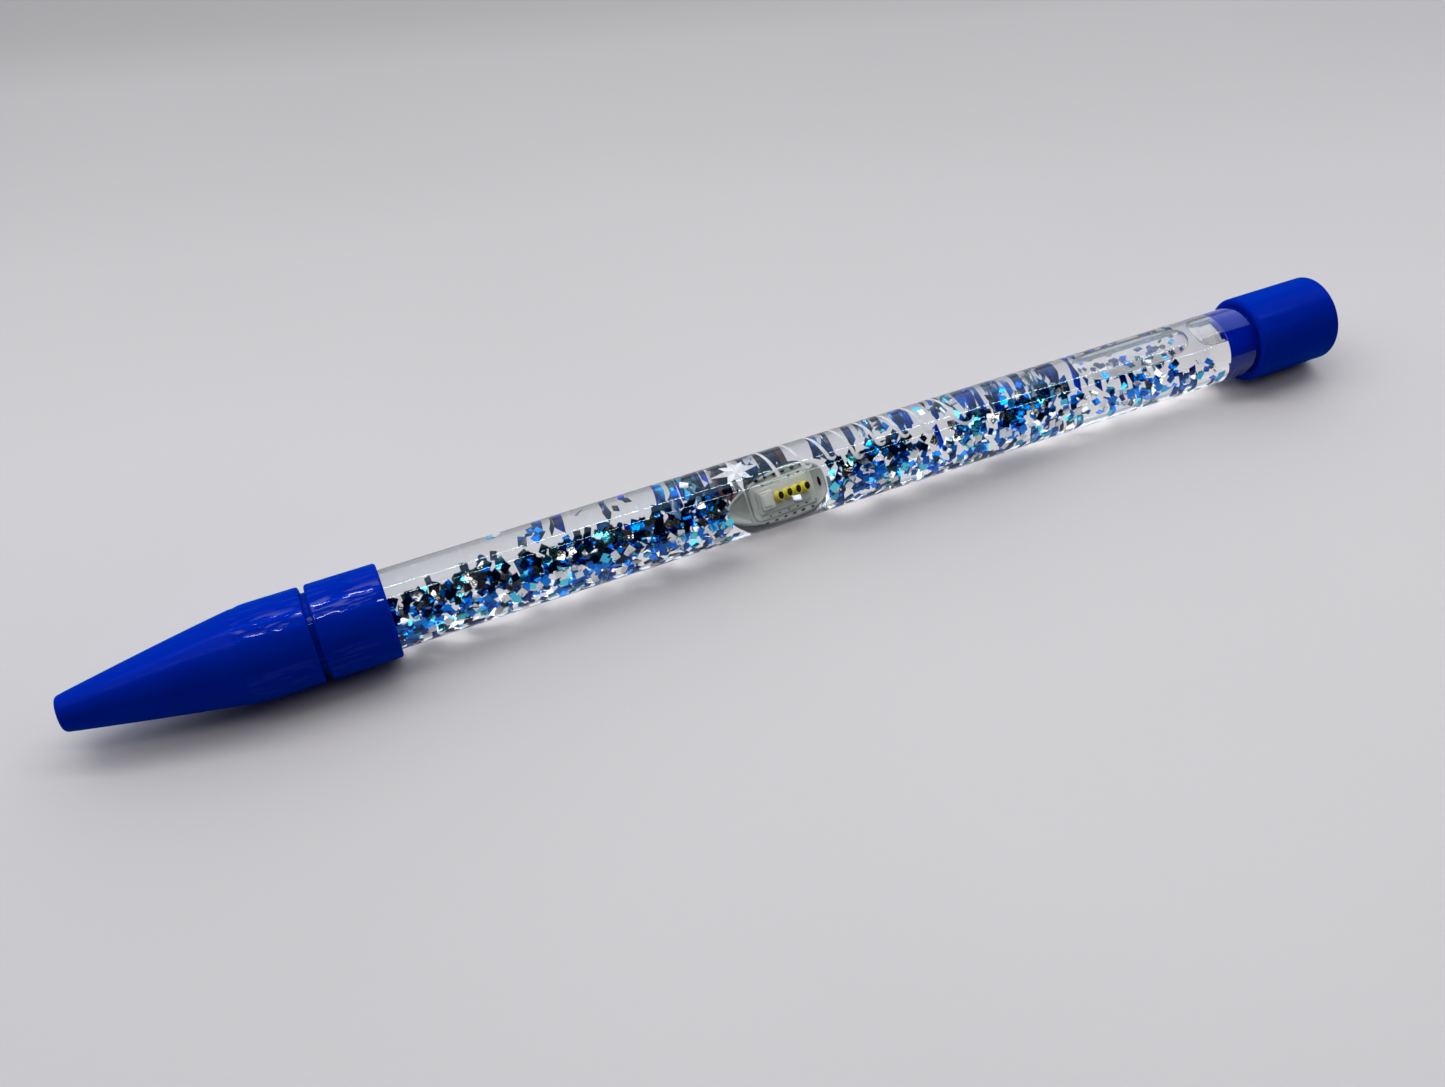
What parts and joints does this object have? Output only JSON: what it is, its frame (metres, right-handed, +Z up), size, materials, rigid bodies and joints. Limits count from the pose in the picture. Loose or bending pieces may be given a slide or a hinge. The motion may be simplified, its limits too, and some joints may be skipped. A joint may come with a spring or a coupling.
{
  "type": "liquid-filled glitter ballpoint pen",
  "caption": "Clear tube ballpoint pen filled with liquid and loose glitter in which a small ship drifts, with a pull-off cone cap and an end cap.",
  "frame": {"origin": "point on the resting surface below the middle of the pen", "axes": "+X along the pen from the closed tip of the cap to the end cap, +Z up from the surface the pen lies on"},
  "size_m": [0.22, 0.015, 0.015],
  "materials": {
    "blue_plastic": "gloss",
    "nose_plastic": "gloss",
    "nib_metal": "polished",
    "ball_metal": "polished",
    "refill_plastic": "satin",
    "ink": "gloss",
    "stopper_rubber": "satin",
    "clear_tube": "clear gloss",
    "liquid": "clear liquid",
    "blue_flake": "metallised film",
    "cyan_flake": "metallised film",
    "silver_flake": "metallised film",
    "black_paint": "gloss paint",
    "red_paint": "gloss paint",
    "cream_plastic": "satin",
    "yellow_paint": "gloss paint"
  },
  "bodies": {
    "barrel": {"front_collar": "blue_plastic", "nose_cone": "nose_plastic", "refill_nib": "nib_metal", "refill_tube": "refill_plastic", "refill_ink": "ink", "front_stopper": "stopper_rubber", "barrel_tube": "clear_tube", "liquid_fill": "liquid", "glitter_blue": "blue_flake", "glitter_cyan": "cyan_flake", "glitter_silver": "silver_flake", "rear_stopper": "blue_plastic", "rear_cap": "blue_plastic"},
    "cap": {"cap": "blue_plastic"},
    "ball": {"refill_ball": "ball_metal"},
    "ship": {"ship_hull": "black_paint", "ship_bottom": "red_paint", "ship_deck": "cream_plastic", "ship_house": "cream_plastic", "ship_bridge": "cream_plastic", "ship_funnel_1": "yellow_paint", "ship_funnel_2": "yellow_paint", "ship_funnel_3": "yellow_paint", "ship_funnel_4": "yellow_paint", "ship_funnel_tops": "black_paint", "ship_boats_port": "black_paint", "ship_boats_starboard": "black_paint", "ship_stern_hatch": "black_paint"}
  },
  "joints": [
    {"name": "cap_pull", "type": "slide", "parent": "barrel", "child": "cap", "axis": [-1, 0, 0], "range_m": [0, 0.045]},
    {"name": "ball_roll", "type": "hinge", "parent": "barrel", "child": "ball", "pos_m": [-0.1051, 0, 0.0075], "axis": [0, 1, 0], "continuous": true},
    {"name": "ship_drift", "type": "slide", "parent": "barrel", "child": "ship", "axis": [1, 0, 0], "range_m": [-0.054, 0.075], "deforming": ["liquid_fill"]}
  ]
}
